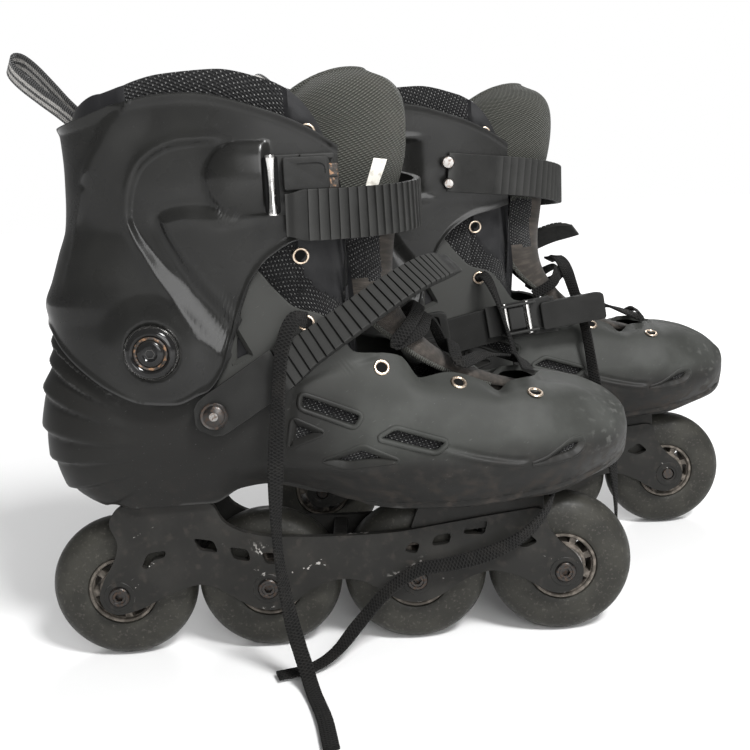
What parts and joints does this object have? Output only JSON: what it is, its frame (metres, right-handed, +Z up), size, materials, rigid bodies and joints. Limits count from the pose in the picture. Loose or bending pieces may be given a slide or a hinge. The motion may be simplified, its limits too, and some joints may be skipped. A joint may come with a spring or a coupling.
{
  "type": "inline skates",
  "caption": "Pair of inline skates: hard boot shells with hinged cuffs, ratchet straps and laces, on channel frames with urethane wheels in line.",
  "frame": {"origin": "middle of the pair on the ground: the centre of the bounding box of both skates without their loose laces, at its lowest height", "axes": "+X from heel to toe, +Y from the right skate to the left skate, +Z up"},
  "size_m": [0.428, 0.3395, 0.329],
  "materials": {
    "frame_paint": "satin black paint on aluminium, chipped to bare metal near the axles",
    "wheel_urethane": "dark translucent urethane, worn satin",
    "steel": "zinc-plated steel, dulled",
    "shell_plastic": "matte dark grey moulded plastic, scuffed and dusty",
    "cuff_plastic": "satin-gloss black moulded plastic with fine scratches",
    "pivot_cap": "gloss black cap with a worn ring",
    "strap_plastic": "matte dark grey flexible plastic",
    "liner_fabric": "black mesh and smooth synthetic panels",
    "tongue_fabric": "grey-olive diagonal ribbed fabric",
    "lace": "black flat woven lace",
    "webbing": "black webbing with two pale stripes"
  },
  "bodies": {
    "right_skate": {"right_frame": "frame_paint", "right_axle_1": "steel", "right_axle_2": "steel", "right_axle_3": "steel", "right_axle_4": "steel", "right_shell": "shell_plastic", "right_liner": "liner_fabric", "right_tongue": "tongue_fabric", "right_cuff_pivot_outer": "pivot_cap", "right_cuff_pivot_inner": "pivot_cap", "right_instep_strap_screw": "steel", "right_lace_crossings": "lace", "right_lace_tail_outer": "lace", "right_lace_tail_inner": "lace"},
    "right_wheel_1": {"right_wheel_1": "wheel_urethane", "right_bearing_set_1": "steel"},
    "right_wheel_2": {"right_wheel_2": "wheel_urethane", "right_bearing_set_2": "steel"},
    "right_wheel_3": {"right_wheel_3": "wheel_urethane", "right_bearing_set_3": "steel"},
    "right_wheel_4": {"right_wheel_4": "wheel_urethane", "right_bearing_set_4": "steel"},
    "right_cuff": {"right_cuff": "cuff_plastic", "right_cuff_buckle_base": "strap_plastic", "right_pull_loop": "webbing"},
    "right_cuff_strap": {"right_cuff_ladder_strap": "strap_plastic"},
    "right_cuff_lever": {"right_cuff_buckle_lever": "strap_plastic"},
    "right_instep_strap": {"right_instep_ladder_strap": "strap_plastic"},
    "right_instep_buckle": {"right_instep_buckle_base": "strap_plastic"},
    "right_instep_lever": {"right_instep_buckle_lever": "strap_plastic"},
    "left_skate": {"left_frame": "frame_paint", "left_axle_1": "steel", "left_axle_2": "steel", "left_axle_3": "steel", "left_axle_4": "steel", "left_shell": "shell_plastic", "left_liner": "liner_fabric", "left_tongue": "tongue_fabric", "left_cuff_pivot_outer": "pivot_cap", "left_cuff_pivot_inner": "pivot_cap", "left_instep_strap_screw": "steel", "left_lace_crossings": "lace", "left_lace_tail_outer": "lace", "left_lace_tail_inner": "lace"},
    "left_wheel_1": {"left_wheel_1": "wheel_urethane", "left_bearing_set_1": "steel"},
    "left_wheel_2": {"left_wheel_2": "wheel_urethane", "left_bearing_set_2": "steel"},
    "left_wheel_3": {"left_wheel_3": "wheel_urethane", "left_bearing_set_3": "steel"},
    "left_wheel_4": {"left_wheel_4": "wheel_urethane", "left_bearing_set_4": "steel"},
    "left_cuff": {"left_cuff": "cuff_plastic", "left_cuff_buckle_base": "strap_plastic", "left_pull_loop": "webbing"},
    "left_cuff_strap": {"left_cuff_ladder_strap": "strap_plastic"},
    "left_cuff_lever": {"left_cuff_buckle_lever": "strap_plastic"},
    "left_instep_strap": {"left_instep_ladder_strap": "strap_plastic"},
    "left_instep_buckle": {"left_instep_buckle_base": "strap_plastic"},
    "left_instep_lever": {"left_instep_buckle_lever": "strap_plastic"}
  },
  "joints": [
    {"name": "right_wheel_1_spin", "type": "hinge", "parent": "right_skate", "child": "right_wheel_1", "pos_m": [-0.174, -0.08, 0.04], "axis": [0, 1, 0], "continuous": true},
    {"name": "right_wheel_2_spin", "type": "hinge", "parent": "right_skate", "child": "right_wheel_2", "pos_m": [-0.093, -0.08, 0.04], "axis": [0, 1, 0], "continuous": true},
    {"name": "right_wheel_3_spin", "type": "hinge", "parent": "right_skate", "child": "right_wheel_3", "pos_m": [-0.012, -0.08, 0.04], "axis": [0, 1, 0], "continuous": true},
    {"name": "right_wheel_4_spin", "type": "hinge", "parent": "right_skate", "child": "right_wheel_4", "pos_m": [0.069, -0.08, 0.04], "axis": [0, 1, 0], "continuous": true},
    {"name": "right_cuff_flex", "type": "hinge", "parent": "right_skate", "child": "right_cuff", "pos_m": [-0.1375, -0.08, 0.178], "axis": [0, 1, 0], "range_deg": [0, 5], "stiffness_Nm_per_rad": 12, "deforming": ["right_liner", "right_tongue"]},
    {"name": "right_cuff_strap_swing", "type": "hinge", "parent": "right_cuff", "child": "right_cuff_strap", "pos_m": [-0.0805, -0.0275, 0.256], "axis": [0, 0, 1], "range_deg": [0, 40]},
    {"name": "right_cuff_buckle_release", "type": "hinge", "parent": "right_cuff", "child": "right_cuff_lever", "pos_m": [-0.0665, -0.1315, 0.2595], "axis": [0, 0, -1], "range_deg": [0, 50]},
    {"name": "right_instep_strap_swing", "type": "hinge", "parent": "right_skate", "child": "right_instep_strap", "pos_m": [-0.1095, -0.126, 0.145], "axis": [0, 1, 0], "range_deg": [0, 10]},
    {"name": "right_instep_buckle_swing", "type": "hinge", "parent": "right_skate", "child": "right_instep_buckle", "pos_m": [-0.1095, -0.035, 0.145], "axis": [0, 1, 0], "range_deg": [-4, 6]},
    {"name": "right_instep_buckle_release", "type": "hinge", "parent": "right_instep_buckle", "child": "right_instep_lever", "pos_m": [-0.0245, -0.025, 0.157], "axis": [0, 0, 1], "range_deg": [0, 100]},
    {"name": "left_wheel_1_spin", "type": "hinge", "parent": "left_skate", "child": "left_wheel_1", "pos_m": [-0.069, 0.08, 0.04], "axis": [0, 1, 0], "continuous": true},
    {"name": "left_wheel_2_spin", "type": "hinge", "parent": "left_skate", "child": "left_wheel_2", "pos_m": [0.012, 0.08, 0.04], "axis": [0, 1, 0], "continuous": true},
    {"name": "left_wheel_3_spin", "type": "hinge", "parent": "left_skate", "child": "left_wheel_3", "pos_m": [0.093, 0.08, 0.04], "axis": [0, 1, 0], "continuous": true},
    {"name": "left_wheel_4_spin", "type": "hinge", "parent": "left_skate", "child": "left_wheel_4", "pos_m": [0.174, 0.08, 0.04], "axis": [0, 1, 0], "continuous": true},
    {"name": "left_cuff_flex", "type": "hinge", "parent": "left_skate", "child": "left_cuff", "pos_m": [-0.0325, 0.08, 0.178], "axis": [0, 1, 0], "range_deg": [0, 5], "stiffness_Nm_per_rad": 12, "deforming": ["left_liner", "left_tongue"]},
    {"name": "left_cuff_strap_swing", "type": "hinge", "parent": "left_cuff", "child": "left_cuff_strap", "pos_m": [0.0245, 0.0275, 0.256], "axis": [0, 0, -1], "range_deg": [0, 40]},
    {"name": "left_cuff_buckle_release", "type": "hinge", "parent": "left_cuff", "child": "left_cuff_lever", "pos_m": [0.0385, 0.1315, 0.2595], "axis": [0, 0, 1], "range_deg": [0, 50]},
    {"name": "left_instep_strap_swing", "type": "hinge", "parent": "left_skate", "child": "left_instep_strap", "pos_m": [-0.0045, 0.126, 0.145], "axis": [0, 1, 0], "range_deg": [0, 10]},
    {"name": "left_instep_buckle_swing", "type": "hinge", "parent": "left_skate", "child": "left_instep_buckle", "pos_m": [-0.0045, 0.035, 0.145], "axis": [0, 1, 0], "range_deg": [-4, 6]},
    {"name": "left_instep_buckle_release", "type": "hinge", "parent": "left_instep_buckle", "child": "left_instep_lever", "pos_m": [0.0805, 0.025, 0.157], "axis": [0, 0, -1], "range_deg": [0, 100]},
    {"name": "left_skate_apart", "type": "slide", "parent": "right_skate", "child": "left_skate", "axis": [0, 1, 0], "range_m": [0, 0.15]}
  ]
}
